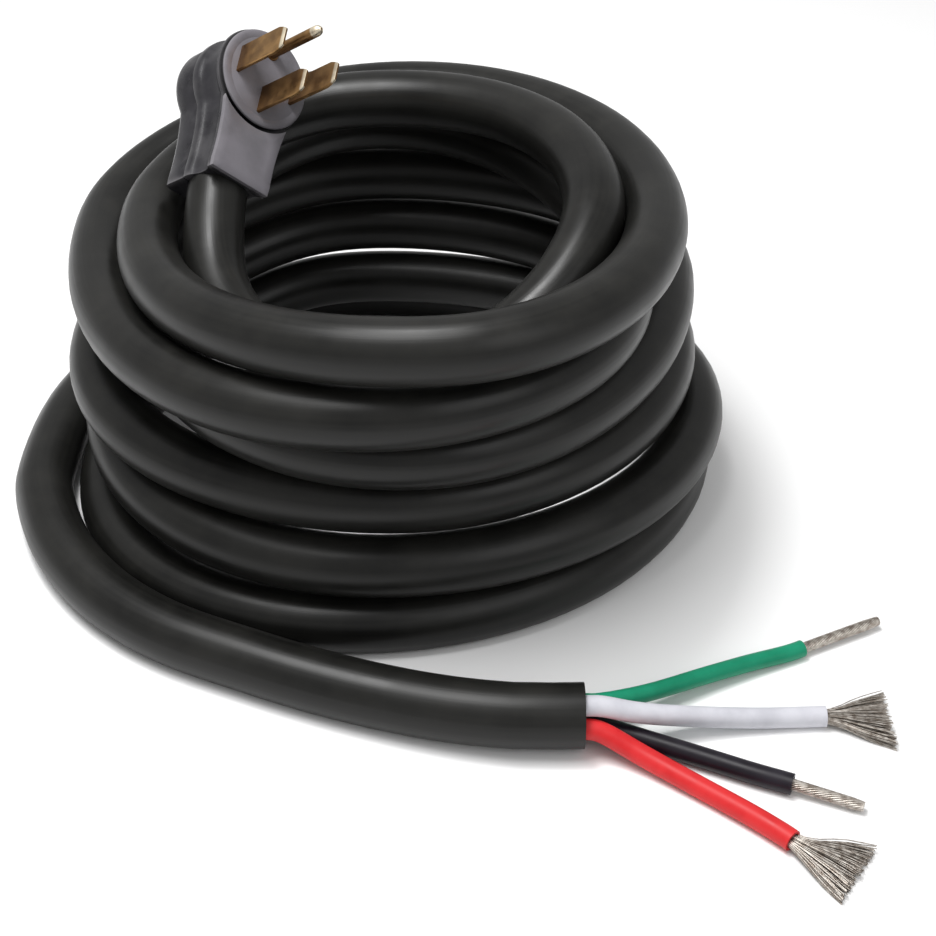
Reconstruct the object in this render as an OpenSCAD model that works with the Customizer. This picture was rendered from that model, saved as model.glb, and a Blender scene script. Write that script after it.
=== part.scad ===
// Shore power cord: a heavy four-wire cable wound into a stack of loose loops,
// a moulded angle plug resting on the loops, and an open end with four wires.
// Millimetres, +Z up, the coil lies on the plane z = 0.

/* [View] */
// Which sub-part to build

/* [Cable] */
// Outer diameter of the round cable
cable_d = 25.4; // [24.4:0.1:25.4]
// Length of the plain jacket at the open end
jacket_end_length = 27; // [20:1:30]

/* [Open wires] */
// Diameter of the white, red and black insulation
wire_d = 8.2; // [7.2:0.1:8.2]
// Diameter of the green insulation
green_wire_d = 7; // [6:0.1:7.6]
// Diameter of a twisted and tinned wire end
twist_d = 4.3; // [3:0.1:5]
// Thickness of one bundle of loose strands in a fan
fan_strand_d = 2; // [1.2:0.1:2.4]
// Number of bundles in each fan
fan_count = 9; // [5:1:11]

/* [Plug] */
// Spacing of the two hot blades, centre to centre
hot_spacing = 28.6; // [27:0.1:30]
// Width of a blade
blade_width = 12.7; // [11:0.1:13]
// Thickness of a blade
blade_thickness = 1.7; // [1.4:0.1:2]
// Length of a blade in front of the plug's face
blade_length = 30; // [24:1:34]
// Diameter of the round ground pin
ground_d = 4.8; // [4:0.1:6]
// Length of the ground pin in front of the plug's face
ground_length = 33; // [26:1:38]
// Radius of the round plug head
head_r = 22.7; // [22.4:0.1:24]
// Depth of the finger groove around the plug
grip_depth = 2.5; // [1:0.1:2.5]

/* [Hidden] */
$fn = 64;

// The coil's axis is this far from the middle of the whole part.
coil_x = -16.3;
coil_y = 41;

cable_r = cable_d / 2;
// A loop on the floor is pressed flat by a tenth of the cable's diameter.
floor_z = 0.4 * cable_d;

// Loops: one station each quarter turn, in the order left, front, right, rear.
// Each is [distance out from the axis, sideways shift, height].
// The first station is behind the place where the cable leaves the plug.
stations = [
  [80.5, -126.5, 229.5],
  [73.5, -0.5, 122.5], [76.5, 14, 108], [84.5, -9, 147.5], [103, -21.5, 139],
  [104.5, 29, 119.5], [120.5, 24.5, 146.5], [110.5, -1.5, 140], [149, -18, 123],
  [131.5, 55.5, 100], [119, 0.5, 116.5], [97, -21, 116.5], [121, -18, 119.5],
  [105.5, 34.5, 87.5], [107, 9.5, 89.5], [120.5, 33, 91], [129.5, -22, 88],
  [131, 15, 64.5], [98, 2.5, 61], [122, 19, 63.5], [127.5, -23.5, 61.5],
  [127.5, 20, 37], [109, -2, 37], [135.5, 9.5, 38], [121, -28, 34.5],
  [131.5, 1.5, 6.5], [112.5, -11, floor_z], [133, 21, floor_z], [147.5, -19.5, floor_z],
  [158, 12, floor_z]];
first_turn = -0.03;
last_turn = 7;
rings_per_turn = 24;

// Open lead: round points from the coil's end to the plain jacket.
end_y = -167;
end_x0 = 50;
end_x1 = end_x0 + jacket_end_length;
lead = [
  [-158, -13.4, floor_z], [-154, -32, floor_z], [-140.5, -64.5, floor_z],
  [-117.5, -95, floor_z], [-89, -117.5, floor_z], [-59.5, -131.5, floor_z],
  [-32, -143.5, floor_z], [-5, -153.5, floor_z + 0.4], [23, -162, floor_z + 1.4],
  [end_x0, end_y, cable_r]];

// Wires inside the cable, seen along it: angle around the cable's middle.
ring_r = 6.2;
wire_bore_r = ring_r + wire_d / 2 + 0.1;
white_angle = 100;
red_angle = 190;
black_angle = 280;
green_angle = 10;

// Free wires: round points on the floor, [x, y, height of the middle].
wire_z = wire_d / 2;
green_z = green_wire_d / 2;
white_path = [[84, -167.5, 18], [98, -167, 14], [120, -163, 8],
  [145, -160.5, wire_z + 0.6], [164, -159.2, wire_z], [171, -159, wire_z]];
red_path = [[84, -174, 10.5], [98, -181, 6], [118, -195, wire_z],
  [134, -207.5, wire_z], [145, -217, wire_z], [149, -221, wire_z]];
black_path = [[84, -167, 6.5], [97, -171, 5], [120, -180, wire_z],
  [138, -188, wire_z], [148, -192, wire_z], [153, -194, wire_z]];
green_path = [[84, -160, 13], [103, -151, 9], [125, -139.5, green_z + 3],
  [145, -130, green_z + 1.3], [161, -123.3, green_z], [168, -120, green_z]];
black_twist_length = 27;
green_twist_length = 38;
fan_length = 29;
red_fan_turn = 14;
fan_half_angle = 21;
fan_neck_d = 5;
fan_neck_length = 6;
fan_root = 12;

// Plug: its own frame has X across the hot blades, Y away from the cable
// and Z out of the face. It is tilted so that it leans on the loops.
plug_tilt_x = 44.5;
plug_tilt_y = 41.5;
plug_tilt_z = 22;
mouth_y = -50;
cable_z = -17;
seat_depth = 21.4;
stub = 7.5;
bore_r = cable_r + 0.1;
carrier_r = 21.9;
carrier_boss_r = 18.5;
carrier_plate = 3;
carrier_back = -6;
groove_r = 23.3;
plug_face = -0.8;
plug_back = -37;
flange_z = -4;
rib_top = -18;
rib_bottom = -22;
slab_inset = 0.6;
skirt_top_w = 17.4;
skirt_end_w = 14.8;
skirt_top_y = -10;
waist_r = 120;
waist_depth = 2.6;
waist_y = -38;
back_bevel = 3;
back_bevel_in = 3;
rim_drop = 2.2;
chamber_back = -30;
wire_passage_end = -8;
through = 1;
// Conductors inside the plug lie on a ring around the cable's middle.
inner_off = 4.4;
inner_wire_d = 6.4;
crimp_r = 3.25;
hot_y = 1.5;
neutral_y = -10.5;
ground_y = 13;
pin_collar_r = 3.8;
pin_collar_rise = 0.4;
pin_root = 2;
pin_tip = 2;
pin_tip_in = 1;
tip_long = 5;
tip_in = 2;

function turned_z(v, a) = [v[0] * cos(a) - v[1] * sin(a), v[0] * sin(a) + v[1] * cos(a), v[2]];
plug_e2 = turned_z([sin(plug_tilt_y) * sin(plug_tilt_x), cos(plug_tilt_x),
  cos(plug_tilt_y) * sin(plug_tilt_x)], plug_tilt_z);
plug_n = turned_z([sin(plug_tilt_y) * cos(plug_tilt_x), -sin(plug_tilt_x),
  cos(plug_tilt_y) * cos(plug_tilt_x)], plug_tilt_z);
start_point = route_point(first_turn);
mouth_point = start_point + stub * plug_e2;
plug_origin = mouth_point - mouth_y * plug_e2 - cable_z * plug_n;

// ---- Route of the loops ----

// Station i stands at the quarter turn i - 1.
function side_xy(q, s) =
  q == 0 ? [-s[0], s[1]] :
  q == 1 ? [s[1], -s[0]] :
  q == 2 ? [s[0], s[1]] : [s[1], s[0]];
function station_xy(i) = side_xy((i + 3) % 4, stations[i]);
function station_z(i) = stations[i][2];
function last_station() = len(stations) - 1;
function slope_z(i) =
  (station_z(min(i + 1, last_station())) - station_z(max(i - 1, 0))) / 2;
function hermite(a, b, ma, mb, u) =
  a * (2 * pow(u, 3) - 3 * pow(u, 2) + 1) + ma * (pow(u, 3) - 2 * pow(u, 2) + u)
  + b * (3 * pow(u, 2) - 2 * pow(u, 3)) + mb * (pow(u, 3) - pow(u, 2));
function quarter_xy(i, a, b, u) =
  (i % 2 == 1)
  ? [b[0] + (a[0] - b[0]) * cos(90 * u), a[1] + (b[1] - a[1]) * sin(90 * u)]
  : [a[0] + (b[0] - a[0]) * sin(90 * u), b[1] + (a[1] - b[1]) * cos(90 * u)];
function quarter_point(i, u) =
  let (p = quarter_xy(i, station_xy(i), station_xy(i + 1), u))
  [p[0], p[1], hermite(station_z(i), station_z(i + 1), slope_z(i), slope_z(i + 1), u)];
function route_point(t) =
  let (s = 4 * t + 1, i = min(floor(s + 0.000001), last_station() - 1))
  quarter_point(i, s - i);

// ---- Tubes swept along points ----

function unit(v) = v / norm(v);
function tangent(P, i, first, last) =
  i == 0 ? first : i == len(P) - 1 ? last : unit(P[i + 1] - P[i - 1]);
function above(p, low) = [p[0], p[1], max(low, p[2])];
function ring(c, dir, r, sides, low) =
  let (across = unit(cross(dir, [0, 0, 1])), up = cross(across, dir))
  [for (k = [0 : sides - 1]) let (a = 360 * (k + 0.5) / sides - 90)
    above(c + r * (cos(a) * across + sin(a) * up), low)];
function tube_points(P, r, sides, first, last, low) =
  [for (i = [0 : len(P) - 1]) each ring(P[i], tangent(P, i, first, last), r, sides, low)];
function tube_faces(n, sides) = concat(
  [[for (k = [sides - 1 : -1 : 0]) k]],
  [for (i = [0 : n - 2], k = [0 : sides - 1])
    [i * sides + k, (i + 1) * sides + (k + 1) % sides, (i + 1) * sides + k]],
  [for (i = [0 : n - 2], k = [0 : sides - 1])
    [i * sides + k, i * sides + (k + 1) % sides, (i + 1) * sides + (k + 1) % sides]],
  [[for (k = [0 : sides - 1]) (n - 1) * sides + k]]);
module tube(P, r, sides, first, last, low = 0) {
  polyhedron(points = tube_points(P, r, sides, first, last, low),
    faces = tube_faces(len(P), sides), convexity = 10);
}

// A smooth curve through round points, with n steps between each two.
function bend(P, i) = (P[min(i + 1, len(P) - 1)] - P[max(i - 1, 0)]) / 2;
function smooth(P, n) = concat(
  [for (i = [0 : len(P) - 2], k = [0 : n - 1])
    hermite(P[i], P[i + 1], bend(P, i), bend(P, i + 1), k / n)],
  [P[len(P) - 1]]);

// A round rod between two points.
module rod(a, b, r) {
  d = b - a;
  translate(a)
    rotate([0, acos(d[2] / norm(d)), atan2(d[1], d[0])])
      cylinder(r = r, h = norm(d));
}

module at_coil() translate([coil_x, coil_y, 0]) children();
module at_plug()
  at_coil() translate(plug_origin) rotate([plug_tilt_x, plug_tilt_y, plug_tilt_z]) children();

// ---- Cable ----

// Centre line: straight inside the plug, then around the loops, then straight.
coil_line = concat(
  [mouth_point + seat_depth * plug_e2, mouth_point + seat_depth / 2 * plug_e2,
    mouth_point, start_point],
  [for (k = [0 : rings_per_turn * last_turn]) route_point(k / rings_per_turn)],
  [lead[0]]);

module coiled_cable() color([0.09, 0.09, 0.09])
  at_coil() tube(coil_line, cable_r, 6, -plug_e2, [0, -1, 0]);

module open_lead() color([0.09, 0.09, 0.09])
  at_coil() tube(smooth(lead, 2), cable_r, 12, [0, -1, 0], [1, 0, 0]);

module jacket_end() color([0.1, 0.1, 0.1])
  at_coil() translate([end_x0, end_y, cable_r]) rotate([0, 90, 0])
    difference() {
      cylinder(r = cable_r, h = jacket_end_length);
      translate([0, 0, -1]) cylinder(r = wire_bore_r, h = jacket_end_length + 2);
    }

module core_filler() color([0.75, 0.7, 0.6])
  at_coil() translate([end_x0, end_y, cable_r]) rotate([0, 90, 0])
    cylinder(r = ring_r - wire_d / 2 - 0.2, h = jacket_end_length - 1);

// ---- Open wires ----

function wire_line(angle, path) = concat(
  [for (x = [end_x0, end_x1])
    [x, end_y + ring_r * cos(angle), cable_r + ring_r * sin(angle)]],
  [for (p = path) p]);
function wire_curve(angle, path) =
  let (L = wire_line(angle, path)) concat([L[0]], smooth([for (i = [1 : len(L) - 1]) L[i]], 2));
function path_end(path) = path[len(path) - 1];
function path_dir(path) = unit(path[len(path) - 1] - path[len(path) - 2]);

module open_wire(angle, path, d)
  at_coil() tube(wire_curve(angle, path), d / 2, 8, [1, 0, 0], path_dir(path));

module white_wire() color([0.88, 0.88, 0.9]) open_wire(white_angle, white_path, wire_d);
module red_wire() color([0.85, 0.12, 0.14]) open_wire(red_angle, red_path, wire_d);
module black_wire() color([0.05, 0.05, 0.06]) open_wire(black_angle, black_path, wire_d);
module green_wire() color([0.05, 0.55, 0.4]) open_wire(green_angle, green_path, green_wire_d);

// A twisted end: it dips a little, so that its tip rests on the floor.
module twisted_end(path, length)
  at_coil() rod(path_end(path), path_end(path) + length * path_dir(path), twist_d / 2);

module black_strands() color([0.6, 0.56, 0.5]) twisted_end(black_path, black_twist_length);
module green_strands() color([0.6, 0.56, 0.5]) twisted_end(green_path, green_twist_length);

// A fan of loose strands that spreads flat and sinks to the floor.
module fan(path, turn) {
  a = path_end(path);
  dir = path_dir(path);
  step = 2 * fan_half_angle / fan_count;
  sink = atan2(a[2] - fan_strand_d / 2, fan_length);
  at_coil() translate(a) rotate([0, 0, atan2(dir[1], dir[0]) + turn]) {
    rotate([0, 90, 0]) cylinder(r = fan_neck_d / 2, h = fan_neck_length);
    rotate([0, sink, 0]) translate([0, 0, -fan_strand_d / 2]) linear_extrude(fan_strand_d)
      polygon(concat([[1, -fan_neck_d / 2]],
        [for (k = [0 : fan_count - 1])
          let (low = -fan_half_angle + k * step, reach = fan_length - (k % 2) * 2)
          each [[reach * cos(low + 0.1 * step), reach * sin(low + 0.1 * step)],
            [reach * cos(low + 0.75 * step), reach * sin(low + 0.75 * step)],
            [fan_root * cos(low + 0.95 * step), fan_root * sin(low + 0.95 * step)]]],
        [[1, fan_neck_d / 2]]));
  }
}

module white_strands() color([0.6, 0.56, 0.5]) fan(white_path, 0);
module red_strands() color([0.6, 0.56, 0.5]) fan(red_path, red_fan_turn);

// ---- Plug ----

// Round head with a skirt towards the cable, waisted on both sides.
module plug_block(z0, z1, inset) {
  translate([0, 0, z0]) cylinder(r = head_r - inset, h = z1 - z0);
  difference() {
    translate([0, 0, z0]) linear_extrude(z1 - z0)
      polygon([[-skirt_end_w + inset, mouth_y], [skirt_end_w - inset, mouth_y],
        [skirt_top_w - inset, skirt_top_y], [-skirt_top_w + inset, skirt_top_y]]);
    for (s = [-1, 1])
      translate([s * (skirt_top_w + waist_r - waist_depth - inset), waist_y, z0 - through])
        cylinder(r = waist_r, h = z1 - z0 + 2 * through, $fn = 128);
  }
}

module plug_shell() {
  plug_block(rib_bottom, plug_face - rim_drop, 0);
  difference() {
    plug_block(plug_face - rim_drop, plug_face, 0);
    translate([0, 0, plug_face - rim_drop]) cylinder(r = groove_r, h = rim_drop + through);
  }
  difference() {
    plug_block(plug_back, rib_bottom, slab_inset);
    back_bevel_cut();
  }
}

// A bevel around the back of the head, above the skirt.
module back_bevel_cut() {
  low = plug_back - through;
  deep = back_bevel + through;
  wide = 2 * head_r;
  difference() {
    translate([-wide, skirt_top_y - 3, low]) cube([2 * wide, wide + head_r, deep]);
    translate([0, 0, low])
      cylinder(r1 = head_r - slab_inset - back_bevel_in, r2 = head_r - slab_inset, h = deep);
  }
}

module plug_grip() {
  c = (flange_z + rib_top) / 2;
  half = (flange_z - rib_top) / 2;
  r = (half * half + grip_depth * grip_depth) / (2 * grip_depth);
  rotate([0, 0, -20]) rotate_extrude(angle = 220)
    translate([head_r + r - grip_depth, c]) circle(r = r);
  for (s = [-1, 1])
    translate([s * (skirt_end_w + 0.8 + r - grip_depth), mouth_y + 6, c])
      rotate([-90, 0, 0]) cylinder(r = r, h = -mouth_y - 18);
}

module plug_body() color([0.26, 0.25, 0.27])
  at_plug() difference() {
    plug_shell();
    plug_grip();
    translate([0, 0, carrier_back]) cylinder(r = carrier_boss_r, h = through - carrier_back);
    translate([0, 0, chamber_back])
      cylinder(r = carrier_boss_r, h = carrier_back - chamber_back);
    translate([0, mouth_y - through, cable_z]) rotate([-90, 0, 0])
      cylinder(r = bore_r, h = seat_depth + through);
    translate([0, mouth_y, cable_z]) rotate([-90, 0, 0])
      cylinder(r = ring_r + wire_d / 2 + 0.2, h = wire_passage_end - mouth_y);
  }

module blade_carrier() color([0.3, 0.29, 0.32])
  at_plug() difference() {
    union() {
      translate([0, 0, -carrier_plate]) cylinder(r = carrier_r, h = carrier_plate);
      translate([0, 0, carrier_back])
        cylinder(r = carrier_boss_r, h = -carrier_back - carrier_plate + 0.01);
    }
    for (x = [-hot_spacing / 2, hot_spacing / 2]) blade_slot(x, hot_y);
    blade_slot(0, neutral_y);
    translate([0, ground_y, carrier_back - through])
      cylinder(r = ground_d / 2, h = 2 * through - carrier_back);
    translate([0, ground_y, carrier_back - through])
      cylinder(r = pin_collar_r, h = through - carrier_back + pin_collar_rise);
  }

module blade_slot(x, y)
  translate([x - blade_thickness / 2, y - blade_width / 2, carrier_back - through])
    cube([blade_thickness, blade_width, 2 * through - carrier_back]);

// A flat blade with bevelled tip corners, and a crimp barrel at its root.
module blade(x, y, root) {
  w = blade_width / 2;
  translate([x - blade_thickness / 2, y, 0]) rotate([90, 0, 90])
    linear_extrude(blade_thickness)
      polygon([[-w, root], [w, root], [w, blade_length - tip_long], [w - tip_in, blade_length],
        [-w + tip_in, blade_length], [-w, blade_length - tip_long]]);
}
module crimp(x, y0, y1, z)
  translate([x, y0, z]) rotate([-90, 0, 0]) cylinder(r = crimp_r, h = y1 - y0);

hot_crimp_x = hot_spacing / 2 - 2.8;
left_crimp_z = -14;
right_crimp_z = -23;
hot_crimp_y = -8;
hot_crimp_end = 4;
blade_root = 3;
neutral_crimp_z = -23;
neutral_crimp_y = -17;
neutral_crimp_end = -6;
ground_crimp_z = -12.6;
ground_crimp_y = 3;

module left_hot_blade() color([0.72, 0.56, 0.3]) at_plug() {
  blade(-hot_spacing / 2, hot_y, left_crimp_z - blade_root);
  crimp(-hot_crimp_x, hot_crimp_y, hot_crimp_end, left_crimp_z);
}
module right_hot_blade() color([0.72, 0.56, 0.3]) at_plug() {
  blade(hot_spacing / 2, hot_y, right_crimp_z);
  crimp(hot_crimp_x, hot_crimp_y, hot_crimp_end, right_crimp_z);
}
module neutral_blade() color([0.72, 0.56, 0.3]) at_plug() {
  blade(0, neutral_y, neutral_crimp_z);
  crimp(0, neutral_crimp_y, neutral_crimp_end, neutral_crimp_z);
}
module ground_pin() color([0.66, 0.52, 0.28]) at_plug() {
  translate([0, ground_y, pin_collar_rise])
    cylinder(r = ground_d / 2, h = ground_length - pin_collar_rise - pin_tip);
  translate([0, ground_y, ground_length - pin_tip])
    cylinder(r1 = ground_d / 2, r2 = ground_d / 2 - pin_tip_in, h = pin_tip);
  translate([0, ground_y, ground_crimp_z - pin_root])
    cylinder(r = pin_collar_r, h = pin_root - ground_crimp_z + pin_collar_rise);
  crimp(0, ground_crimp_y, ground_y, ground_crimp_z);
}

// Conductors between the cable's end face and the crimps.
seat_y = mouth_y + seat_depth;
module plug_wire(P)
  at_plug() tube(smooth(P, 2), inner_wire_d / 2, 8, [0, 1, 0], [0, 1, 0], plug_back);
module plug_black_wire() color([0.05, 0.05, 0.06])
  plug_wire([[-inner_off, seat_y, cable_z + inner_off], [-5.5, -22, -13.5], [-6, -18, -14],
    [-9, -13, left_crimp_z], [-hot_crimp_x, hot_crimp_y, left_crimp_z]]);
module plug_red_wire() color([0.85, 0.12, 0.14])
  plug_wire([[inner_off, seat_y, cable_z - inner_off], [5.5, -22, -20.5], [6, -18, -20.5],
    [9, -13, -21.5], [hot_crimp_x, hot_crimp_y, right_crimp_z]]);
module plug_white_wire() color([0.88, 0.88, 0.9])
  plug_wire([[-inner_off, seat_y, cable_z - inner_off], [-2.5, -23, -22],
    [-0.5, -19.5, -22.8], [0, neutral_crimp_y, neutral_crimp_z]]);
module plug_green_wire() color([0.05, 0.55, 0.4])
  plug_wire([[inner_off, seat_y, cable_z + inner_off], [4.5, -20, ground_crimp_z],
    [4.6, -6, ground_crimp_z], [3, -1, ground_crimp_z], [0.5, 2, ground_crimp_z],
    [0, ground_crimp_y, ground_crimp_z]]);

// ---- Least gap between the loops, from the centre line ----

function seg_dist(p, a, b) =
  let (d = b - a, u = max(0, min(1, ((p - a) * d) / (d * d)))) norm(p - a - u * d);
gap_from = 3;
echo(least_gap = min([for (i = [gap_from : len(coil_line) - 1],  // coiled_cable
    j = [i + 14 : 1 : len(coil_line) - 2])
    seg_dist(coil_line[i], coil_line[j], coil_line[j + 1])]) - cable_d);

coiled_cable();
open_lead();
jacket_end();
core_filler();
white_wire();
red_wire();
black_wire();
green_wire();
white_strands();
red_strands();
black_strands();
green_strands();
plug_body();
blade_carrier();
left_hot_blade();
right_hot_blade();
neutral_blade();
ground_pin();
plug_black_wire();
plug_red_wire();
plug_white_wire();
plug_green_wire();
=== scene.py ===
import math
import random

import bmesh
import bpy
from mathutils import Matrix, Vector


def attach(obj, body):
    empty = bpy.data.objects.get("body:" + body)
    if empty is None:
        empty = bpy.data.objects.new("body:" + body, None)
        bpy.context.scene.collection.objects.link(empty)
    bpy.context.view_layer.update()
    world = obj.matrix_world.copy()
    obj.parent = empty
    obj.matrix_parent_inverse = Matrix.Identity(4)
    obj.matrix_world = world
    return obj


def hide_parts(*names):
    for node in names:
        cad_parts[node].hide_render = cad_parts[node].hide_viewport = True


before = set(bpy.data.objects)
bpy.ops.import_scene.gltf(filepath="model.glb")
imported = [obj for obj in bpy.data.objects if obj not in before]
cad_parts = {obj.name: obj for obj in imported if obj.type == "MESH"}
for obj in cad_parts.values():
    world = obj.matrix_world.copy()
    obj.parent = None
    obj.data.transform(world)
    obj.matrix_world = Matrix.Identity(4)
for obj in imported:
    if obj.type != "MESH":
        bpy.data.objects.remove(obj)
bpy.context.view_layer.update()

MM = 0.001
SIDEWAYS = Vector((1, 0, 0))
UPWARDS = Vector((0, 0, 1))


def mm(*xyz):
    """A point written in millimetres, as a vector in metres."""
    return Vector(xyz) * MM


# Where the coil's axis stands from the middle of the whole part.
COIL = mm(-16.3, 41, 0)
CABLE_D = 25.4
# The height of the cable's middle where it lies on the surface, pressed a little flat.
FLOOR_Z = 0.4 * CABLE_D


# ---------------------------------------------------------------- camera

CAMERA_TARGET = COIL + mm(33, 15, -7)
CAMERA_DISTANCE = 0.810
CAMERA_RISE = math.radians(37)
CAMERA_LENS = 66.23
CAMERA_SENSOR = 36


def aim(obj, target):
    """Turn an object so that it looks at a point."""
    direction = Vector(target) - obj.location
    obj.rotation_euler = direction.to_track_quat("-Z", "Y").to_euler()


def place_camera():
    from_target = Vector((0, -math.cos(CAMERA_RISE), math.sin(CAMERA_RISE)))
    bpy.ops.object.camera_add(location=CAMERA_TARGET + CAMERA_DISTANCE * from_target)
    camera = bpy.context.object
    camera.name = "camera"
    aim(camera, CAMERA_TARGET)
    camera.data.sensor_width = CAMERA_SENSOR
    camera.data.lens = CAMERA_LENS
    camera.data.clip_start = 0.02
    camera.data.clip_end = 50
    bpy.context.scene.camera = camera


place_camera()


# ---------------------------------------------------------------- lines

def hermite(a, b, slope_a, slope_b, u):
    """The value at u, from 0 to 1, of a smooth change from a to b with given end slopes."""
    return (a * (2 * u ** 3 - 3 * u ** 2 + 1) + slope_a * (u ** 3 - 2 * u ** 2 + u)
            + b * (3 * u ** 2 - 2 * u ** 3) + slope_b * (u ** 3 - u ** 2))


def smooth_line(points, steps):
    """A smooth curve through a few points, with a number of steps between each two."""
    last = len(points) - 1
    bends = [(points[min(i + 1, last)] - points[max(i - 1, 0)]) / 2 for i in range(last + 1)]
    line = []
    for i in range(last):
        for k in range(steps):
            line.append(hermite(points[i], points[i + 1], bends[i], bends[i + 1], k / steps))
    return line + [points[last]]


def soften(line, rounds):
    """Take the small corners out of a line; its ends stay."""
    for _ in range(rounds):
        middle = [(a + 2 * b + c) / 4 for a, b, c in zip(line, line[1:], line[2:])]
        line = [line[0]] + middle + [line[-1]]
    return line


def directions(line):
    """The way that a line runs at each of its points."""
    last = len(line) - 1
    return [(line[min(i + 1, last)] - line[max(i - 1, 0)]).normalized() for i in range(last + 1)]


# ---------------------------------------------------------------- coil route

# One station each quarter turn, in millimetres: distance out from the axis, sideways shift,
# height. The first is at the rear, then each row runs left, front, right, rear.
STATIONS = [
    (80.5, -126.5, 229.5),
    (73.5, -0.5, 122.5), (76.5, 14, 108), (84.5, -9, 147.5), (103, -21.5, 139),
    (104.5, 29, 119.5), (120.5, 24.5, 146.5), (110.5, -1.5, 140), (149, -18, 123),
    (131.5, 55.5, 100), (119, 0.5, 116.5), (97, -21, 116.5), (121, -18, 119.5),
    (105.5, 34.5, 87.5), (107, 9.5, 89.5), (120.5, 33, 91), (129.5, -22, 88),
    (131, 15, 64.5), (98, 2.5, 61), (122, 19, 63.5), (127.5, -23.5, 61.5),
    (127.5, 20, 37), (109, -2, 37), (135.5, 9.5, 38), (121, -28, 34.5),
    (131.5, 1.5, 6.5), (112.5, -11, FLOOR_Z), (133, 21, FLOOR_Z), (147.5, -19.5, FLOOR_Z),
    (158, 12, FLOOR_Z)]
# Turns are counted from the first left station.
FIRST_TURN = -0.03
LAST_TURN = 7

# The jacket's cut end, and the points that the open lead follows to it.
END_X = 77
END_Y = -167
JACKET_END = 27
LEAD = [
    (-158, -13.4, FLOOR_Z), (-154, -32, FLOOR_Z), (-140.5, -64.5, FLOOR_Z),
    (-117.5, -95, FLOOR_Z), (-89, -117.5, FLOOR_Z), (-59.5, -131.5, FLOOR_Z),
    (-32, -143.5, FLOOR_Z), (-5, -153.5, FLOOR_Z + 0.4), (23, -162, FLOOR_Z + 1.4),
    (END_X - JACKET_END, END_Y, CABLE_D / 2), (END_X, END_Y, CABLE_D / 2)]


def station_xy(i):
    out, shift, _ = STATIONS[i]
    return [(shift, out), (-out, shift), (shift, -out), (out, shift)][i % 4]


def station_slope(i):
    return (STATIONS[min(i + 1, len(STATIONS) - 1)][2] - STATIONS[max(i - 1, 0)][2]) / 2


def route_point(turn):
    """A point of the cable's middle after so many turns, in millimetres from the coil's axis."""
    place = 4 * turn + 1
    i = min(int(place + 1e-6), len(STATIONS) - 2)
    u = place - i
    a, b = station_xy(i), station_xy(i + 1)
    swing = math.radians(90 * u)
    if i % 2 == 1:
        x = b[0] + (a[0] - b[0]) * math.cos(swing)
        y = a[1] + (b[1] - a[1]) * math.sin(swing)
    else:
        x = a[0] + (b[0] - a[0]) * math.sin(swing)
        y = b[1] + (a[1] - b[1]) * math.cos(swing)
    z = hermite(STATIONS[i][2], STATIONS[i + 1][2], station_slope(i), station_slope(i + 1), u)
    return Vector((x, y, z))


def in_coil(p):
    """A point given in millimetres from the foot of the coil's axis, in metres in the scene."""
    return COIL + MM * Vector(p)


# The plug's own frame: X across the hot blades, Y away from the cable, Z out of the face.
PLUG_TURN = (Matrix.Rotation(math.radians(22), 3, "Z")
             @ Matrix.Rotation(math.radians(41.5), 3, "Y")
             @ Matrix.Rotation(math.radians(44.5), 3, "X"))
PLUG_Y = PLUG_TURN @ Vector((0, 1, 0))
# The mouth's place on the plug, and the straight cable between it and the first turn.
MOUTH_Y = -50
CABLE_Z = -17
STUB = 7.5
MOUTH = route_point(FIRST_TURN) + STUB * PLUG_Y
PLUG_ORIGIN = MOUTH - PLUG_TURN @ Vector((0, MOUTH_Y, CABLE_Z))
PLUG_PLACE = (Matrix.Translation(in_coil(PLUG_ORIGIN)) @ PLUG_TURN.to_4x4()
              @ Matrix.Scale(MM, 4))


# ---------------------------------------------------------------- small tools

def rest_all():
    """Nothing stays selected or open."""
    if bpy.context.object and bpy.context.object.mode != "OBJECT":
        bpy.ops.object.mode_set(mode="OBJECT")
    bpy.ops.object.select_all(action="DESELECT")


def take(obj):
    """Make one object the only one selected, and the active one."""
    rest_all()
    obj.select_set(True)
    bpy.context.view_layer.objects.active = obj


def shade(obj, angle=None):
    """Smooth shading, with edges sharper than an angle in degrees kept crisp."""
    take(obj)
    if angle is None:
        bpy.ops.object.shade_smooth()
    else:
        bpy.ops.object.shade_smooth_by_angle(angle=math.radians(angle))


def cover(obj, material):
    obj.data.materials.clear()
    obj.data.materials.append(material)


def dress(obj, material):
    cover(obj, material)
    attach(obj, "root")


def add_object(name, data):
    obj = bpy.data.objects.new(name, data)
    bpy.context.collection.objects.link(obj)
    return obj


def close_mesh(mesh, name):
    """An object from a finished bmesh, with its faces turned outwards."""
    bmesh.ops.recalc_face_normals(mesh, faces=mesh.faces[:])
    data = bpy.data.meshes.new(name)
    mesh.to_mesh(data)
    mesh.free()
    return add_object(name, data)


def across_and_up(direction):
    across = direction.cross(UPWARDS).normalized()
    return across, across.cross(direction)


def ring_points(middle, direction, radius, sides):
    """A ring around a line, kept above the surface."""
    across, up = across_and_up(direction)
    points = []
    for k in range(sides):
        a = 2 * math.pi * k / sides - math.pi / 2
        p = middle + radius * (math.cos(a) * across + math.sin(a) * up)
        p.z = max(p.z, 0.0)
        points.append(p)
    return points


def cut_rings(end, ahead, steps, sides):
    """Rings of a cut end, each given by how far ahead it lies and its radius in millimetres."""
    return [ring_points(end + forward * MM * ahead, ahead, radius * MM, sides)
            for forward, radius in steps]


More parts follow.
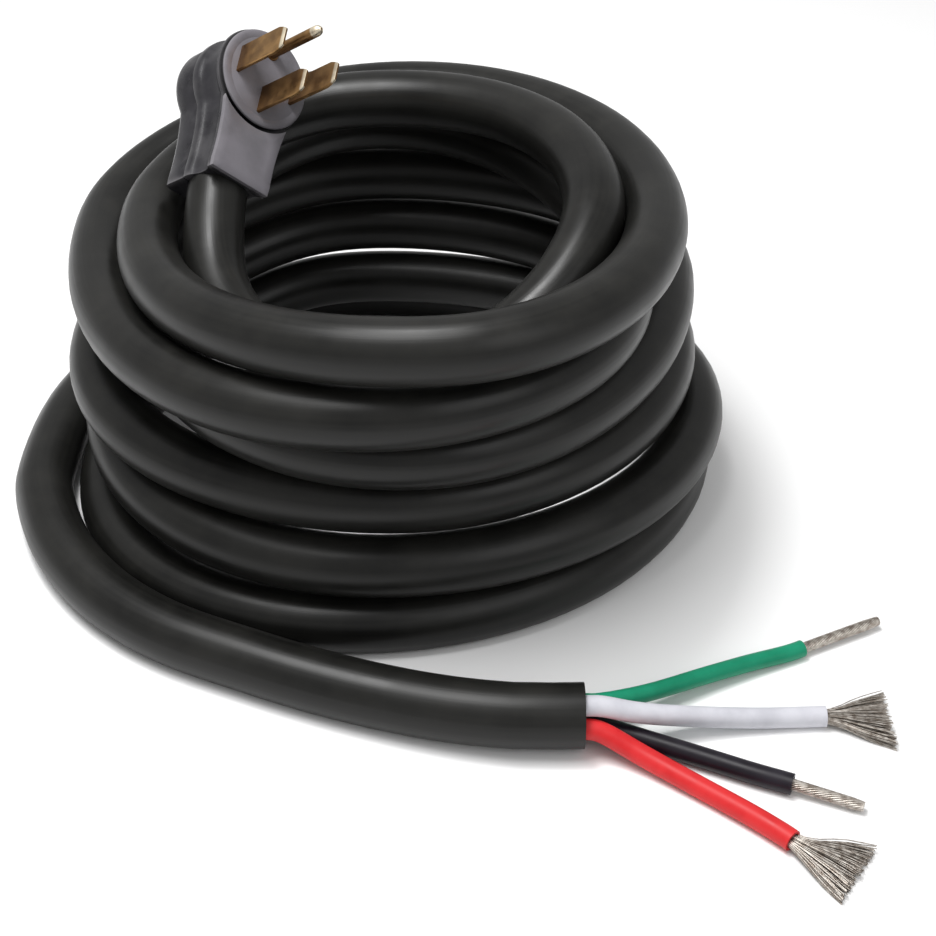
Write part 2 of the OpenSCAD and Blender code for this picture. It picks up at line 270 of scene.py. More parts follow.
def loft(name, rings):
    """A closed skin over rings of the same number of points, with its length in the UV map."""
    sides = len(rings[0])
    mesh = bmesh.new()
    uv = mesh.loops.layers.uv.new("along")
    rows = [[mesh.verts.new(p) for p in ring] for ring in rings]
    run = [0.0]
    for a, b in zip(rings, rings[1:]):
        run.append(run[-1] + (sum(b, Vector()) / sides - sum(a, Vector()) / sides).length)
    for i in range(len(rows) - 1):
        for k in range(sides):
            k2 = (k + 1) % sides
            face = mesh.faces.new((rows[i][k], rows[i][k2], rows[i + 1][k2], rows[i + 1][k]))
            spots = ((k, i), (k + 1, i), (k + 1, i + 1), (k, i + 1))
            for loop, (u, v) in zip(face.loops, spots):
                loop[uv].uv = (u / sides, run[v])
    mesh.faces.new(list(reversed(rows[0])))
    mesh.faces.new(rows[-1])
    return close_mesh(mesh, name)


# ---------------------------------------------------------------- shader groups

def new_group(name, inputs, outputs):
    """A node group that takes a Vector and some values, given with their defaults."""
    group = bpy.data.node_groups.new(name, "ShaderNodeTree")
    group.interface.new_socket("Vector", in_out="INPUT", socket_type="NodeSocketVector")
    for label, value in inputs:
        socket = group.interface.new_socket(label, in_out="INPUT", socket_type="NodeSocketFloat")
        socket.default_value = value
    for label in outputs:
        group.interface.new_socket(label, in_out="OUTPUT", socket_type="NodeSocketFloat")
    return group, group.nodes.new("NodeGroupInput"), group.nodes.new("NodeGroupOutput")


def node(tree, kind, **values):
    """A new node, with its own settings and the constants of its inputs."""
    made = tree.nodes.new(kind)
    for key, value in values.items():
        if hasattr(made, key):
            setattr(made, key, value)
        else:
            made.inputs[key].default_value = value
    return made


def ramp(tree, source, low, high, out_low=0.0, out_high=1.0):
    """A smooth change from one value to another as the source goes from low to high."""
    made = node(tree, "ShaderNodeMapRange", interpolation_type="SMOOTHSTEP")
    for i, value in ((1, low), (2, high), (3, out_low), (4, out_high)):
        made.inputs[i].default_value = value
    tree.links.new(source, made.inputs[0])
    return made.outputs[0]


def combine(tree, operation, a, b):
    """Two values combined by one operation; b may be a number."""
    made = node(tree, "ShaderNodeMath", operation=operation)
    tree.links.new(a, made.inputs[0])
    if isinstance(b, float):
        made.inputs[1].default_value = b
    else:
        tree.links.new(b, made.inputs[1])
    return made.outputs[0]


def blend_colour(tree, factor, a, b):
    """From colour a to colour b; a may be a colour or another node's output."""
    made = node(tree, "ShaderNodeMix", data_type="RGBA")
    tree.links.new(factor, made.inputs[0])
    if hasattr(a, "links"):
        tree.links.new(a, made.inputs[6])
    else:
        made.inputs[6].default_value = a
    made.inputs[7].default_value = b
    return made.outputs[2]


def build_grain_group():
    """Moulded grain: broad cloudiness, fine grain, and a height for a bump."""
    group, start, end = new_group("moulded_grain", [("Cloud Scale", 20.0), ("Grain Scale", 900.0)],
                                  ["Cloud", "Grain", "Height"])
    link = group.links.new
    cloud = node(group, "ShaderNodeTexNoise", Detail=4.0, Roughness=0.55)
    grain = node(group, "ShaderNodeTexNoise", Detail=3.0, Roughness=0.6)
    pits = node(group, "ShaderNodeTexVoronoi", feature="F1")
    for made, label in ((cloud, "Cloud Scale"), (grain, "Grain Scale"), (pits, "Grain Scale")):
        link(start.outputs["Vector"], made.inputs["Vector"])
        link(start.outputs[label], made.inputs["Scale"])
    link(ramp(group, cloud.outputs[0], 0.3, 0.7), end.inputs["Cloud"])
    link(grain.outputs[0], end.inputs["Grain"])
    pit_depth = combine(group, "MULTIPLY", pits.outputs[0], 0.4)
    link(combine(group, "ADD", grain.outputs[0], pit_depth), end.inputs["Height"])
    return group


def build_wear_group():
    """Rubbed edges: a mask from how sharp the surface turns, broken up by noise."""
    group, start, end = new_group("rubbed_edges", [("Break Up", 120.0), ("Low", 0.52), ("High", 0.62)],
                                  ["Mask"])
    link = group.links.new
    shape = node(group, "ShaderNodeNewGeometry")
    noise = node(group, "ShaderNodeTexNoise", Detail=3.0)
    link(start.outputs["Vector"], noise.inputs["Vector"])
    link(start.outputs["Break Up"], noise.inputs["Scale"])
    edge = node(group, "ShaderNodeMapRange", interpolation_type="SMOOTHSTEP")
    link(shape.outputs["Pointiness"], edge.inputs[0])
    link(start.outputs["Low"], edge.inputs[1])
    link(start.outputs["High"], edge.inputs[2])
    patches = ramp(group, noise.outputs[0], 0.25, 0.6, 0.35, 1.0)
    link(combine(group, "MULTIPLY", edge.outputs[0], patches), end.inputs["Mask"])
    return group


def build_dust_group():
    """Fine dust that lies where a surface faces up."""
    group, start, end = new_group("light_dust", [("Scale", 60.0), ("Amount", 0.3)], ["Mask"])
    link = group.links.new
    shape = node(group, "ShaderNodeNewGeometry")
    axes = node(group, "ShaderNodeSeparateXYZ")
    link(shape.outputs["Normal"], axes.inputs[0])
    noise = node(group, "ShaderNodeTexNoise", Detail=5.0, Roughness=0.65)
    link(start.outputs["Vector"], noise.inputs["Vector"])
    link(start.outputs["Scale"], noise.inputs["Scale"])
    facing = ramp(group, axes.outputs[2], -0.1, 0.95)
    spots = ramp(group, noise.outputs[0], 0.35, 0.75)
    lying = combine(group, "MULTIPLY", facing, spots)
    link(combine(group, "MULTIPLY", lying, start.outputs["Amount"]), end.inputs["Mask"])
    return group


GRAIN = build_grain_group()
WEAR = build_wear_group()
DUST = build_dust_group()


# ---------------------------------------------------------------- materials

def new_material(name):
    material = bpy.data.materials.new(name)
    material.use_nodes = True
    tree = material.node_tree
    spot = node(tree, "ShaderNodeTexCoord")
    return material, tree, tree.nodes["Principled BSDF"], spot.outputs["Object"]


def place_group(tree, group, vector, **values):
    made = node(tree, "ShaderNodeGroup", node_tree=group)
    tree.links.new(vector, made.inputs["Vector"])
    for key, value in values.items():
        made.inputs[key.replace("_", " ")].default_value = value
    return made


def set_roughness(tree, shader, cloud, smooth, dull):
    """Roughness that drifts with the cloudiness."""
    tree.links.new(ramp(tree, cloud, 0.0, 1.0, smooth, dull), shader.inputs["Roughness"])


def add_bump(tree, shader, height, strength, distance):
    bump = node(tree, "ShaderNodeBump")
    bump.inputs["Strength"].default_value = strength
    bump.inputs["Distance"].default_value = distance
    tree.links.new(height, bump.inputs["Height"])
    tree.links.new(bump.outputs[0], shader.inputs["Normal"])


RUBBER_DEEP = (0.0055, 0.0055, 0.0052, 1)
RUBBER_CLOUDED = (0.010, 0.0099, 0.0090, 1)
RUBBER_STREAK = (0.014, 0.0137, 0.012, 1)
RUBBER_DUST = (0.032, 0.031, 0.027, 1)
# How fine the streaks are around the cable and along it.
STREAK_STRETCH = (42.0, 3.0, 1.0)


def jacket_rubber():
    """Black extruded rubber: satin, faintly streaked along its length, a little dusty on top."""
    material, tree, shader, place = new_material("jacket_rubber")
    link = tree.links.new
    grain = place_group(tree, GRAIN, place, Cloud_Scale=28.0, Grain_Scale=1400.0)
    dust = place_group(tree, DUST, place, Scale=45.0, Amount=0.3)
    uv = node(tree, "ShaderNodeUVMap", uv_map="along")
    stretch = node(tree, "ShaderNodeMapping", Scale=STREAK_STRETCH)
    link(uv.outputs[0], stretch.inputs[0])
    streaks = node(tree, "ShaderNodeTexNoise", Scale=1.0, Detail=3.0)
    link(stretch.outputs[0], streaks.inputs["Vector"])
    streak = ramp(tree, streaks.outputs[0], 0.3, 0.7)
    black = blend_colour(tree, grain.outputs["Cloud"], RUBBER_DEEP, RUBBER_CLOUDED)
    black = blend_colour(tree, combine(tree, "MULTIPLY", streak, 0.35), black, RUBBER_STREAK)
    link(blend_colour(tree, dust.outputs["Mask"], black, RUBBER_DUST), shader.inputs["Base Color"])
    dullness = ramp(tree, grain.outputs["Cloud"], 0.0, 1.0, 0.3, 0.38)
    link(combine(tree, "ADD", dullness, combine(tree, "MULTIPLY", streak, 0.05)),
         shader.inputs["Roughness"])
    shader.inputs["Specular IOR Level"].default_value = 0.3
    height = combine(tree, "ADD", combine(tree, "MULTIPLY", grain.outputs["Height"], 0.35),
                     combine(tree, "MULTIPLY", streak, 0.65))
    add_bump(tree, shader, height, 0.22, 0.00012)
    return material


def wire_insulation(name, dark, light, roughness):
    """Soft plastic insulation with a faint gloss and slight scuffs."""
    material, tree, shader, place = new_material(name)
    grain = place_group(tree, GRAIN, place, Cloud_Scale=70.0, Grain_Scale=2200.0)
    shader.inputs["Specular IOR Level"].default_value = 0.3
    tree.links.new(blend_colour(tree, grain.outputs["Cloud"], dark, light),
                   shader.inputs["Base Color"])
    set_roughness(tree, shader, grain.outputs["Cloud"], roughness, roughness + 0.12)
    add_bump(tree, shader, grain.outputs["Height"], 0.12, 0.00006)
    return material


PLUG_DUST = (0.17, 0.165, 0.17, 1)
PLUG_WORN = (0.25, 0.24, 0.25, 1)


def plug_plastic(name, dark, light, roughness, gloss):
    """Satin moulded vinyl with fine grain, paler where its edges are rubbed."""
    material, tree, shader, place = new_material(name)
    grain = place_group(tree, GRAIN, place, Cloud_Scale=60.0, Grain_Scale=1600.0)
    wear = place_group(tree, WEAR, place, Break_Up=140.0, Low=0.52, High=0.6)
    dust = place_group(tree, DUST, place, Scale=90.0, Amount=0.25)
    colour = blend_colour(tree, grain.outputs["Cloud"], dark, light)
    colour = blend_colour(tree, dust.outputs["Mask"], colour, PLUG_DUST)
    colour = blend_colour(tree, combine(tree, "MULTIPLY", wear.outputs["Mask"], 0.5), colour,
                          PLUG_WORN)
    tree.links.new(colour, shader.inputs["Base Color"])
    set_roughness(tree, shader, grain.outputs["Cloud"], roughness, roughness + 0.1)
    shader.inputs["Specular IOR Level"].default_value = gloss
    add_bump(tree, shader, grain.outputs["Height"], 0.25, 0.00010)
    return material


BRASS_BROWN = (0.30, 0.165, 0.062, 1)
BRASS_PALE = (0.45, 0.27, 0.115, 1)
BRASS_ROOT = (0.14, 0.065, 0.022, 1)
BRASS_BRIGHT = (0.90, 0.80, 0.62, 1)


def blade_metal():
    """Stamped brass: brown and dull on its flats, darker at its root, pale at its bevelled tip."""
    material, tree, shader, place = new_material("blade_metal")
    link = tree.links.new
    grain = place_group(tree, GRAIN, place, Cloud_Scale=150.0, Grain_Scale=2600.0)
    uv = node(tree, "ShaderNodeUVMap", uv_map="along")
    axes = node(tree, "ShaderNodeSeparateXYZ")
    link(uv.outputs[0], axes.inputs[0])
    colour = blend_colour(tree, grain.outputs["Cloud"], BRASS_BROWN, BRASS_PALE)
    # The distance along a blade or the pin, in millimetres, is the map's second value.
    root = ramp(tree, axes.outputs[1], 5.0, 19.0, 0.75, 0.0)
    colour = blend_colour(tree, root, colour, BRASS_ROOT)
    tip = ramp(tree, axes.outputs[1], 32.6, 33.6)
    link(blend_colour(tree, tip, colour, BRASS_BRIGHT), shader.inputs["Base Color"])
    shader.inputs["Metallic"].default_value = 1.0
    set_roughness(tree, shader, grain.outputs["Cloud"], 0.34, 0.5)
    add_bump(tree, shader, grain.outputs["Grain"], 0.2, 0.00006)
    return material


TIN_SHADED = (0.30, 0.25, 0.21, 1)
TIN_LIGHT = (0.66, 0.62, 0.57, 1)


def tinned_copper():
    """Tinned copper strands: grey with a little copper brown between them."""
    material, tree, shader, place = new_material("tinned_copper")
    grain = place_group(tree, GRAIN, place, Cloud_Scale=420.0, Grain_Scale=3000.0)
    tree.links.new(blend_colour(tree, grain.outputs["Cloud"], TIN_SHADED, TIN_LIGHT),
                   shader.inputs["Base Color"])
    shader.inputs["Metallic"].default_value = 0.9
    set_roughness(tree, shader, grain.outputs["Cloud"], 0.3, 0.48)
    return material


FIBRE_DARK = (0.25, 0.2, 0.14, 1)
FIBRE_LIGHT = (0.6, 0.52, 0.4, 1)


def filler_fibre():
    """Dull, rough fibre between the conductors."""
    material, tree, shader, place = new_material("filler_fibre")
    grain = place_group(tree, GRAIN, place, Cloud_Scale=300.0, Grain_Scale=2500.0)
    tree.links.new(blend_colour(tree, grain.outputs["Grain"], FIBRE_DARK, FIBRE_LIGHT),
                   shader.inputs["Base Color"])
    shader.inputs["Roughness"].default_value = 0.9
    add_bump(tree, shader, grain.outputs["Height"], 0.5, 0.0002)
    return material


# Each insulation: its darker and lighter colour, and its roughness.
INSULATIONS = {
    "white": ((0.54, 0.54, 0.59, 1), (0.65, 0.65, 0.70, 1), 0.38),
    "red": ((0.58, 0.016, 0.019, 1), (0.70, 0.028, 0.031, 1), 0.36),
    "black": ((0.008, 0.006, 0.010, 1), (0.016, 0.013, 0.02, 1), 0.34),
    "green": ((0.003, 0.215, 0.112, 1), (0.006, 0.28, 0.15, 1), 0.36)}

RUBBER = jacket_rubber()
VINYLS = {colour: wire_insulation(colour + "_insulation", *finish)
          for colour, finish in INSULATIONS.items()}
# One plastic in two copies: the body's is darker, painted shade for the sides turned from the light;
# the plate's and face's is paler, painted light for the front that faces it.
BODY_VINYL_PAINTED_SHADE = plug_plastic("plug_body_vinyl_painted_shade", (0.015, 0.0145, 0.017, 1),
                          (0.028, 0.027, 0.031, 1), 0.26, 0.3)
FACE_VINYL_PAINTED_LIGHT = plug_plastic("plug_face_vinyl_painted_light", (0.14, 0.133, 0.147, 1),
                          (0.195, 0.184, 0.205, 1), 0.42, 0.4)
# A near black copy of the plug's vinyl: painted shade for the groove around the round face.
GROOVE_PAINTED_SHADE = plug_plastic("plug_groove_painted_shade", (0.004, 0.004, 0.005, 1),
                            (0.008, 0.008, 0.009, 1), 0.6, 0.2)
BRASS = blade_metal()
TINNED = tinned_copper()
FIBRE = filler_fibre()


# ---------------------------------------------------------------- cable

CABLE_SIDES = 28
STEPS_PER_TURN = 96
LEAD_STEPS = 6
# How far the cable reaches into the plug.
SEAT = 12
SEAT_STEPS = 3
# The cut end, as steps ahead and radii: a crisp edge, the jacket's thickness, and the hollow
# that the wires leave.
CABLE_CUT = ((0.0, 12.5), (-0.15, 12.1), (0.0, 10.9), (-0.4, 10.45), (-6, 10.4), (-14, 10.4))


def cable_path():
    """The cable's middle, from inside the plug round all the loops to the cut end."""
    inside = MOUTH + SEAT * PLUG_Y
    line = [inside + (MOUTH - inside) * k / SEAT_STEPS for k in range(SEAT_STEPS)]
    loops = [route_point(k / STEPS_PER_TURN) for k in range(STEPS_PER_TURN * LAST_TURN + 1)]
    start = route_point(FIRST_TURN)
    line += [MOUTH, start, (start + loops[0]) / 2] + loops
    lead = smooth_line([Vector(p) for p in LEAD], LEAD_STEPS)
    # The last stretch, which ends square, is kept out of the softening.
    line = soften(line + lead[:-LEAD_STEPS], 6) + [lead[-4], lead[-2], lead[-1]]
    return [in_coil(p) for p in line]


def make_cable():
    path = cable_path()
    headings = directions(path)
    headings[-1] = SIDEWAYS
    rings = [ring_points(p, d, MM * CABLE_D / 2, CABLE_SIDES) for p, d in zip(path, headings)]
    cable = loft("power_cable", rings + cut_rings(path[-1], SIDEWAYS, CABLE_CUT, CABLE_SIDES))
    shade(cable, 40)
    dress(cable, RUBBER)
    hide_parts("coiled_cable", "open_lead", "jacket_end")


make_cable()


# ---------------------------------------------------------------- open wires

# The four wires lie on a ring inside the jacket, each at its angle, and then follow points.
RING_R = 6.2
WIRE_SIDES = 20
WIRE_STEPS = 6
# How far inside the jacket's cut end a wire starts.
WIRE_DEPTH = 12
WIRES = {
    "white": dict(angle=100, d=8.2, path=[
        (84, -167.5, 18), (98, -167, 14), (120, -163, 8), (145, -160.5, 4.7), (164, -159.2, 4.1),
        (171, -159, 4.1)]),
    "red": dict(angle=190, d=8.2, path=[
        (84, -174, 10.5), (98, -181, 6), (118, -195, 4.1), (134, -207.5, 4.1), (145, -217, 4.1),
        (149, -221, 4.1)]),
    "black": dict(angle=280, d=8.2, path=[
        (84, -167, 6.5), (97, -171, 5), (120, -180, 4.1), (138, -188, 4.1), (148, -192, 4.1),
        (153, -194, 4.1)]),
    "green": dict(angle=10, d=7.0, path=[
        (84, -160, 13), (103, -151, 9), (125, -139.5, 6.5), (145, -130, 4.8), (161, -123.3, 3.5),
        (168, -120, 3.5)]),
}


def wire_path(wire):
    angle = math.radians(wire["angle"])
    y = END_Y + RING_R * math.cos(angle)
    z = CABLE_D / 2 + RING_R * math.sin(angle)
    points = [Vector((END_X - WIRE_DEPTH, y, z)), Vector((END_X, y, z))]
    line = smooth_line(points + [Vector(p) for p in wire["path"]], WIRE_STEPS)
    return [in_coil(p) for p in soften(line, 3)]


def make_insulation(colour, path, headings):
    """A round wire with a crisp cut end, hollow where its strands come out."""
    radius = WIRES[colour]["d"] / 2
    cut = ((0.0, radius - 0.15), (0.0, radius - 1.0), (-0.3, radius - 1.2), (-3, radius - 1.25))
    rings = [ring_points(p, d, radius * MM, WIRE_SIDES) for p, d in zip(path, headings)]
    wire = loft(colour + "_insulation", rings + cut_rings(path[-1], headings[-1], cut, WIRE_SIDES))
    shade(wire, 40)
    dress(wire, VINYLS[colour])
    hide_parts(colour + "_wire")
    return wire


def strands_to_mesh(name, lines, radius, resolution):
    """Many thin round strands along lines, as one mesh."""
    rest_all()
    curve = bpy.data.curves.new(name, "CURVE")
    curve.dimensions = "3D"
    curve.bevel_depth = radius
    curve.bevel_resolution = resolution
    curve.use_fill_caps = True
    for line in lines:
        spline = curve.splines.new("POLY")
        spline.points.add(len(line) - 1)
        for point, p in zip(spline.points, line):
            point.co = (*p, 1)
    take(add_object(name, curve))
    bpy.ops.object.convert(target="MESH")
    strands = bpy.context.object
    shade(strands)
    return strands


FAN_STRANDS = 230
FAN_STRAND_R = 0.00024
FAN_HALF_ANGLE = 24
FAN_LENGTH = 27.5
FAN_STEPS = 6
# How far apart the upper and lower strands end, and where the lowest and middle ones lie.
FAN_LIFT = 1.2
FAN_LOWEST = 0.0004
FAN_MIDDLE = 0.0012
FAN_LAYER = 0.0007
# The bundle inside the insulation: how deep it starts, and half its width and height.
BUNDLE_DEPTH = 2.5
BUNDLE_WIDE = 2.3
BUNDLE_HIGH = 2.0


def fan_strand(end, ahead, aside, share, chance):
    """One strand of a fan, at a share from -1 to 1 across it, cut along the fan's edge."""
    across, up = across_and_up(ahead)
    turn = math.radians(FAN_HALF_ANGLE * (share + chance.uniform(-0.05, 0.05)))
    layer = chance.uniform(-1, 1)
    height = BUNDLE_HIGH * layer * up * (1 - 0.6 * abs(share))
    start = end - BUNDLE_DEPTH * MM * ahead + MM * (BUNDLE_WIDE * share * across + height)
    reach = MM * (FAN_LENGTH + chance.uniform(-1.0, 0.6)) / math.cos(turn)
    bow = chance.uniform(-0.035, 0.035)
    sink = end.z - FAN_MIDDLE - layer * FAN_LAYER
    strand = []
    for i in range(FAN_STEPS + 1):
        u = i / FAN_STEPS
        opening = 0.35 + 0.65 * min(1, 1.8 * u)
        spread = (turn + math.radians(aside)) * opening + bow * math.sin(math.pi * u)
        p = start + reach * u * (math.cos(spread) * ahead + math.sin(spread) * across)
        p.z += -sink * u ** 1.3 + FAN_LIFT * MM * layer * u
        p += MM * 0.07 * math.sin(9 * u + 5 * chance.random()) * across
        p.z = max(p.z, FAN_LOWEST)
        strand.append(p)
    return strand


def make_fan(name, end, ahead, aside, seed):
    """Loose strands that leave the insulation as one bundle and spread into a flat fan.

    They are cut along one line, and the whole fan can lie a few degrees aside.
    """
    chance = random.Random(seed)
    lines = [fan_strand(end, ahead, aside, (k + 0.5) / FAN_STRANDS * 2 - 1, chance)
             for k in range(FAN_STRANDS)]
    return strands_to_mesh(name, lines, FAN_STRAND_R, 0)


TWIST_R = 2.15
TWIST_STRAND_R = 0.00042
TWIST_STEPS = 24
# How deep the twist starts inside the insulation.
TWIST_DEPTH = 2
# Each layer of strands: its radius, how many there are, and how far round it starts.
TWIST_LAYERS = ((TWIST_R - 0.33, 14, 0.0), (TWIST_R * 0.42, 7, 0.5))


def make_twist(name, end, ahead, length, turns, dip):
    """Strands twisted into one round end and tinned; the tip is drawn in and dips a little."""
    across, up = across_and_up(ahead)
    lines = []
    for ring, count, offset in TWIST_LAYERS:
        for k in range(count):
            line = []
            for i in range(TWIST_STEPS + 1):
                u = i / TWIST_STEPS
                a = 2 * math.pi * (k / count + turns * u + offset)
                squeeze = 1 - 0.18 * max(0, u - 0.85) / 0.15
                p = end + MM * ((length + TWIST_DEPTH) * u - TWIST_DEPTH) * ahead
                p += MM * ring * squeeze * (math.cos(a) * across + math.sin(a) * up)
                p.z -= dip * MM * u
                line.append(p)
            lines.append(line)
    return strands_to_mesh(name, lines, TWIST_STRAND_R, 1)


# What each wire ends in.
TIPS = {
    "white": (make_fan, "white_fan", dict(aside=0, seed=11)),
    "red": (make_fan, "red_fan", dict(aside=-14, seed=23)),
    "black": (make_twist, "black_twist", dict(length=26.6, turns=1.0, dip=1.2)),
    "green": (make_twist, "green_twist", dict(length=37.5, turns=1.4, dip=1.0)),
}


def make_wire(colour):
    path = wire_path(WIRES[colour])
    headings = directions(path)
    wire = make_insulation(colour, path, headings)
    make_tip, name, shape = TIPS[colour]
    tip = make_tip(name, path[-1], headings[-1], **shape)
    dress(tip, TINNED)
    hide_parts(colour + "_strands")


for colour in WIRES:
    make_wire(colour)
cover(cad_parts["core_filler"], FIBRE)


# ---------------------------------------------------------------- plug

# All sizes are in the plug's own millimetres, with the middle of the round face at 0.
HEAD_R = 22.7
HEAD_JOIN = math.radians(-38)
SKIRT_TOP = 17.4
SKIRT_TOP_Y = -10
SKIRT_END = 14.8
WAIST_DEPTH = 2.6
WAIST_R = 120.0
WAIST_Y = -38
GROOVE_R = 23.5
PLATE_FRONT = -0.8
PLATE_BACK = -3.0
# Steps around the head, along each side of the skirt, and across its flat end.
OUTLINE_STEPS = 24
BASE_STEPS = 12

HOT_X = 14.3
HOT_Y = 1.5
NEUTRAL_Y = -10.5
GROUND_Y = 13.0
BLADE_WIDTH = 12.7
BLADE_THICK = 1.7
BLADE_EDGE = 0.34
PIN_SIDES = 32


def skirt_half(y):
    """Half the width of the plug's skirt at a height between the head and the cable's mouth."""
    taper = SKIRT_END + (SKIRT_TOP - SKIRT_END) * (y - MOUTH_Y) / (SKIRT_TOP_Y - MOUTH_Y)
    waist = SKIRT_TOP - WAIST_DEPTH + WAIST_R - math.sqrt(WAIST_R ** 2 - (y - WAIST_Y) ** 2)
    return min(taper, waist)


def skirt_edge(top, low, inset):
    """The skirt's edge from the end of its left side round the flat end and up the right."""
    side = []
    for k in range(1, OUTLINE_STEPS + 1):
        y = top + (low - top) * k / OUTLINE_STEPS
        side.append((skirt_half(max(y, MOUTH_Y)) - inset, y))
    half = side[-1][0]
    base = [(-half + 2 * half * k / BASE_STEPS, low) for k in range(1, BASE_STEPS)]
    return [(-x, y) for x, y in side] + base + list(reversed(side))


def arc_points(radius, start, sweep, steps):
    angles = [start + sweep * k / steps for k in range(steps + 1)]
    return [(radius * math.cos(a), radius * math.sin(a)) for a in angles]


def plug_outline(inset):
    """Points around the plug, seen from its face: head, waisted skirt and flat end."""
    radius = HEAD_R - inset
    head = arc_points(radius, HEAD_JOIN, math.pi - 2 * HEAD_JOIN, 2 * OUTLINE_STEPS)
    low = MOUTH_Y + min(inset, 1.5) * 0.5
    return head + skirt_edge(radius * math.sin(HEAD_JOIN), low, inset)


def plate_outline(inset):
    """Points around the skirt's front plate, which ends above in an arc around the face."""
    radius = GROOVE_R + inset
    # Where the arc meets the skirt's side is closed in on in a few steps.
    top = -17.0
    for _ in range(12):
        top = -math.sqrt(radius ** 2 - (skirt_half(top) - inset) ** 2)
    join = math.asin(top / radius)
    arc = arc_points(radius, join, -math.pi - 2 * join, OUTLINE_STEPS)
    return arc + skirt_edge(top, MOUTH_Y + inset, inset)


def stack(name, outline, levels):
    """A solid of one outline that is drawn in by an inset at each height."""
    return loft(name, [[Vector((x, y, z)) for x, y in outline(inset)] for z, inset in levels])


def place_on_plug(obj, material, angle, node_name):
    """Put a piece that is drawn in the plug's own millimetres in its place."""
    obj.data.transform(PLUG_PLACE)
    obj.data.update()
    shade(obj, angle)
    dress(obj, material)
    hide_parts(node_name)
    return obj


def paint_groove_shade(obj, in_groove):
    """Give the faces in the groove around the face a second, near black material, painted shade where
    the groove lies in shadow; they are found by place on the plug.
    """
    obj.data.materials.append(GROOVE_PAINTED_SHADE)
    back = PLUG_PLACE.inverted()
    for face in obj.data.polygons:
        spot = back @ face.center
        if in_groove(spot, math.hypot(spot.x, spot.y)):
            face.material_index = 1


# Heights and insets of the moulded body: flange, finger groove, rib and rounded back slab.
BODY_LEVELS = (
    (-3.6, 4.0), (PLATE_BACK, 3.0), (PLATE_BACK, 0.6), (-3.15, 0.2), (-3.6, 0.0), (-4.3, 0.0),
    (-4.9, 0.35), (-5.6, 1.2), (-7.2, 2.1), (-9.5, 2.5), (-12.5, 2.5), (-15.0, 2.0),
    (-16.8, 1.0), (-17.7, 0.2), (-18.4, 0.0), (-21.2, 0.0), (-21.9, 0.35), (-22.3, 1.1),
    (-22.9, 0.7), (-33.4, 0.65), (-35.2, 1.2), (-36.3, 2.2), (-36.9, 3.6), (-37.0, 5.5))
# The raised plate below the round face, crisp at its rim.
PLATE_LEVELS = ((-3.2, 0.25), (-1.5, 0.0), (-1.0, 0.12), (PLATE_FRONT, 0.45), (PLATE_FRONT, 4.5))


def make_plug_body():
    body = place_on_plug(stack("plug_moulding", plug_outline, BODY_LEVELS), BODY_VINYL_PAINTED_SHADE,
                         35, "plug_body")
    # The body's faces at the plate's back, down in the groove, get the painted shade.
    paint_groove_shade(body, lambda spot, away: spot.z > PLATE_BACK - 0.1)


def make_front_plate():
    plate = place_on_plug(stack("plug_front_plate", plate_outline, PLATE_LEVELS), FACE_VINYL_PAINTED_LIGHT,
                          32, "plug_body")
    # The plate's inner wall along the groove gets the painted shade.
    paint_groove_shade(plate, lambda spot, away: away < GROOVE_R + 0.2 and spot.z < PLATE_FRONT - 0.05)


# Radii and heights of the round raised face: a bevelled rim and a shallow step.
FACE_PROFILE = (
    (0, -5.9), (18.2, -5.9), (21.3, -5.7), (21.4, -3.0), (21.4, -1.6), (21.9, -1.3),
    (21.9, -0.9), (21.6, -0.35), (21.0, -0.05), (20.3, 0.0), (18.5, 0.0), (18.3, -0.08),
    (18.1, -0.08), (17.9, 0.0), (9, 0.0), (0, 0.0))
FACE_STEPS = 96


def make_face():
    """The round raised face, turned from its profile."""
    mesh = bmesh.new()
    spine = [mesh.verts.new((x, 0, z)) for x, z in FACE_PROFILE]
    edges = [mesh.edges.new(pair) for pair in zip(spine, spine[1:])]
    bmesh.ops.spin(mesh, geom=spine + edges, cent=(0, 0, 0), axis=(0, 0, 1),
                   angle=2 * math.pi, steps=FACE_STEPS, use_duplicate=False)
    bmesh.ops.remove_doubles(mesh, verts=mesh.verts[:], dist=0.001)
    face = place_on_plug(close_mesh(mesh, "plug_face"), FACE_VINYL_PAINTED_LIGHT, 32,
                         "blade_carrier")
    # The face's side below its rim, down in the groove, gets the painted shade.
    paint_groove_shade(face, lambda spot, away: spot.z < -1.0)


# Along a blade: height, how far its width is drawn in, and how much of its thickness is left.
BLADE_ROWS = ((-5, 0, 1), (0, 0, 1), (10, 0, 1), (20, 0, 1), (25, 0, 1), (27.5, 0.9, 0.92),
              (29.3, 1.75, 0.72), (30, 2.4, 0.45))


def make_blade(name, x, y, node_name):
    """A stamped blade: broken edges, bevelled tip corners and a thinned tip."""
    rings = []
    for z, inset, share in BLADE_ROWS:
        wide = BLADE_WIDTH / 2 - inset
        deep = BLADE_THICK / 2 * share
        edge = min(BLADE_EDGE, deep * 0.5)
        rings.append([Vector((x + a, y + b, z)) for a, b in (
            (deep, -wide + edge), (deep, 0), (deep, wide - edge), (deep - edge, wide),
            (-deep + edge, wide), (-deep, wide - edge), (-deep, 0), (-deep, -wide + edge),
            (-deep + edge, -wide), (deep - edge, -wide))])
    place_on_plug(loft(name, rings), BRASS, 30, node_name)


# Heights and radii of the ground pin: the collar at its root, the shaft and a bevelled tip.
PIN_PROFILE = ((-5.0, 3.4), (0.0, 3.4), (0.35, 3.2), (0.4, 2.45), (0.6, 2.4), (15, 2.4),
               (29.4, 2.4), (30.6, 2.3), (31.6, 1.95), (32.5, 1.25), (33.0, 0.5))


def make_pin():
    turns = [2 * math.pi * k / PIN_SIDES for k in range(PIN_SIDES)]
    rings = [[Vector((r * math.cos(a), GROUND_Y + r * math.sin(a), z)) for a in turns]
             for z, r in PIN_PROFILE]
    place_on_plug(loft("round_pin", rings), BRASS, 30, "ground_pin")


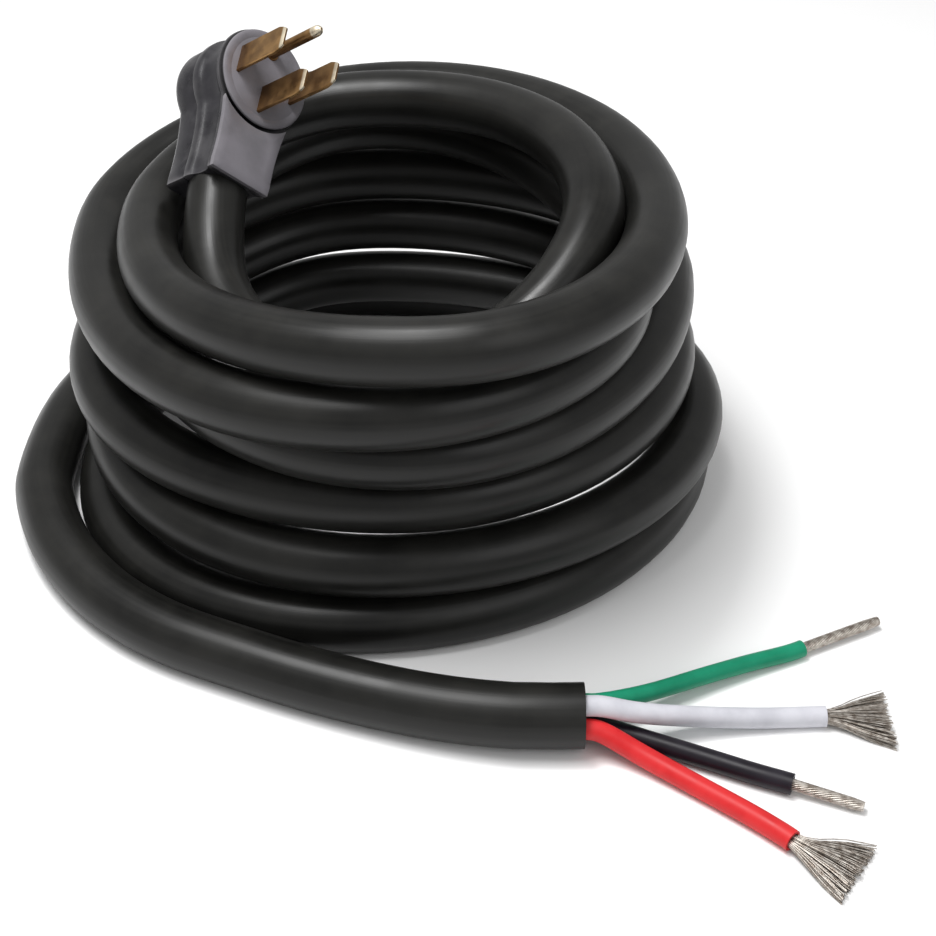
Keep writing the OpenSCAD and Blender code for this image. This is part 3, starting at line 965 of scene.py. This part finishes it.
make_plug_body()
make_front_plate()
make_face()
make_blade("blade_left", -HOT_X, HOT_Y, "left_hot_blade")
make_blade("blade_right", HOT_X, HOT_Y, "right_hot_blade")
make_blade("blade_middle", 0, NEUTRAL_Y, "neutral_blade")
make_pin()
# The wires inside the plug are shown as they are packed.
for colour, vinyl in VINYLS.items():
    cover(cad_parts["plug_" + colour + "_wire"], vinyl)


# ---------------------------------------------------------------- floor and light

FLOOR_SIZE = 8
FLOOR_COLOUR = (0.96, 0.96, 0.96, 1)
# The world is white to the eye, and gives this much light.
WORLD_LIGHT = 0.46
# Each lamp: its place, the width of its square and its power.
LAMPS = {
    "key": ((-0.35, -0.1, 1.4), 0.65, 12.0),
    "fill": ((0.8, -0.9, 1.1), 0.9, 3.5),
    "glint": ((-0.3, 0.15, 1.3), 0.25, 6.0),
}
LAMP_TARGET = (0, 0.03, 0.06)


def make_floor():
    rest_all()
    bpy.ops.mesh.primitive_plane_add(size=FLOOR_SIZE, location=(0, 0, 0))
    floor = bpy.context.object
    floor.name = "studio_floor"
    material, _, shader, _ = new_material("pale_floor")
    shader.inputs["Base Color"].default_value = FLOOR_COLOUR
    shader.inputs["Roughness"].default_value = 0.9
    shader.inputs["Specular IOR Level"].default_value = 0.1
    floor.data.materials.append(material)


def make_world():
    world = bpy.data.worlds.new("studio")
    bpy.context.scene.world = world
    world.use_nodes = True
    tree = world.node_tree
    back = tree.nodes["Background"]
    back.inputs["Color"].default_value = (1, 1, 1, 1)
    rays = node(tree, "ShaderNodeLightPath")
    seen = combine(tree, "MAXIMUM", rays.outputs["Is Camera Ray"],
                   rays.outputs["Is Transmission Ray"])
    tree.links.new(ramp(tree, seen, 0.0, 1.0, WORLD_LIGHT, 1.0), back.inputs["Strength"])


def make_lamps():
    for name, (place, size, power) in LAMPS.items():
        bpy.ops.object.light_add(type="AREA", location=place)
        lamp = bpy.context.object
        lamp.name = name
        lamp.data.energy = power
        lamp.data.size = size
        aim(lamp, LAMP_TARGET)


make_floor()
make_world()
make_lamps()
bpy.context.scene.view_settings.view_transform = "Standard"
